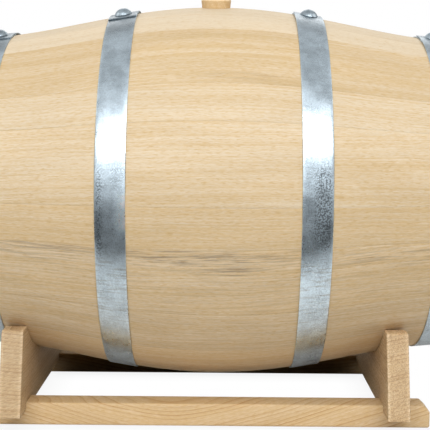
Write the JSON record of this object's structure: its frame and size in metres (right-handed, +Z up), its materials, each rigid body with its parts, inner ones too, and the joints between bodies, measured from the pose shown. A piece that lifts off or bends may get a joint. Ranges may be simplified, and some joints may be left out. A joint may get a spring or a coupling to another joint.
{
  "type": "oak wine barrel",
  "caption": "Small oak wine barrel with galvanised hoops and a wooden bung, lying on a two-board cradle with two rails.",
  "frame": {"origin": "centre of the bounding box at floor level, under the middle of the barrel", "axes": "+X along the barrel's axis, to the right seen from the front; +Y to the back; +Z up, towards the bung"},
  "size_m": [0.475, 0.3699, 0.4072],
  "materials": {
    "stave_oak": "planed, unfinished",
    "head_oak": "planed, unfinished",
    "bung_wood": "turned, unfinished",
    "cradle_oak": "sanded, unfinished",
    "galvanised_steel": "galvanised, spangled",
    "zinc_screw": "zinc plated"
  },
  "bodies": {
    "stand": {"cradle_board_left": "cradle_oak", "cradle_board_right": "cradle_oak", "rail_front": "cradle_oak", "rail_rear": "cradle_oak", "screw_front_left": "zinc_screw", "screw_front_right": "zinc_screw", "screw_rear_left": "zinc_screw", "screw_rear_right": "zinc_screw"},
    "barrel": {"bung_stave": "stave_oak", "stave_02": "stave_oak", "stave_03": "stave_oak", "stave_04": "stave_oak", "stave_05": "stave_oak", "stave_06": "stave_oak", "stave_07": "stave_oak", "stave_08": "stave_oak", "stave_09": "stave_oak", "stave_10": "stave_oak", "stave_11": "stave_oak", "stave_12": "stave_oak", "stave_13": "stave_oak", "stave_14": "stave_oak", "stave_15": "stave_oak", "stave_16": "stave_oak", "stave_17": "stave_oak", "stave_18": "stave_oak", "head_left_board_1": "head_oak", "head_left_board_2": "head_oak", "head_left_board_3": "head_oak", "head_left_board_4": "head_oak", "head_left_board_5": "head_oak", "head_right_board_1": "head_oak", "head_right_board_2": "head_oak", "head_right_board_3": "head_oak", "head_right_board_4": "head_oak", "head_right_board_5": "head_oak", "quarter_hoop_left": "galvanised_steel", "quarter_hoop_right": "galvanised_steel", "head_hoop_left": "galvanised_steel", "head_hoop_right": "galvanised_steel", "rivet_quarter_hoop_left": "galvanised_steel", "rivet_quarter_hoop_right": "galvanised_steel", "rivet_head_hoop_left": "galvanised_steel", "rivet_head_hoop_right": "galvanised_steel"},
    "bung": {"bung": "bung_wood"}
  },
  "joints": [
    {"name": "barrel_lift", "type": "slide", "parent": "stand", "child": "barrel", "axis": [0, 0, 1], "range_m": [0, 0.12]},
    {"name": "bung_pull", "type": "slide", "parent": "barrel", "child": "bung", "axis": [0, -0.1305, 0.9914], "range_m": [0, 0.06]}
  ]
}
